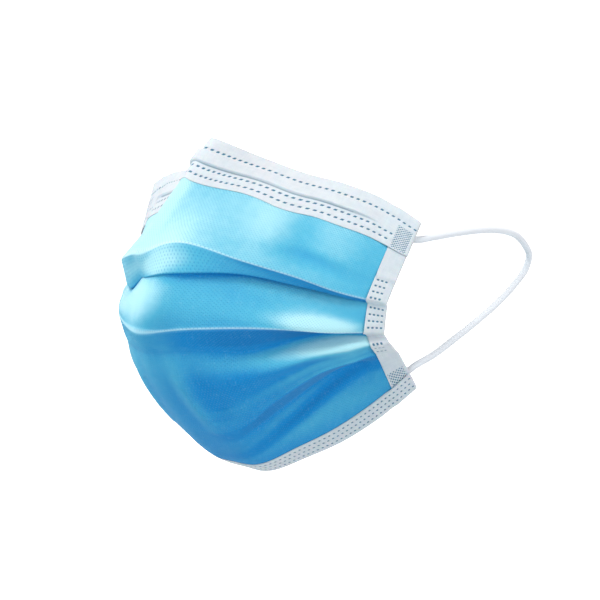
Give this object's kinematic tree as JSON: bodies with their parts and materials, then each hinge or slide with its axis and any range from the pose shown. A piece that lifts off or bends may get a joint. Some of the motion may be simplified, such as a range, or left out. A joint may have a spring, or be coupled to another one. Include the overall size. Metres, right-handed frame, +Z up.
{
  "type": "surgical face mask",
  "caption": "Pleated disposable face mask of blue non-woven cloth, opened as worn, with white folded bindings, a wired nose hem and round elastic ear loops.",
  "frame": {"origin": "the middle of the top hem, where it lies on the bridge of the nose", "axes": "+Z is up, -Y is forwards, away from the wearer's face, and +X is towards the ear loop that the picture shows"},
  "size_m": [0.1507, 0.1632, 0.1373],
  "materials": {
    "cloth": "matt spunbonded non-woven, sky blue, finely dimpled",
    "binding": "matt white non-woven with rows of weld dots",
    "wire": "plain bendable strip, hidden in its channel",
    "cord": "white knitted elastic cord"
  },
  "bodies": {
    "root": {"mask_body": "cloth", "top_binding": "binding", "bottom_binding": "binding", "side_binding_left": "binding", "side_binding_right": "binding", "nose_wire": "wire", "ear_loop_left": "cord", "ear_loop_right": "cord"}
  },
  "joints": []
}
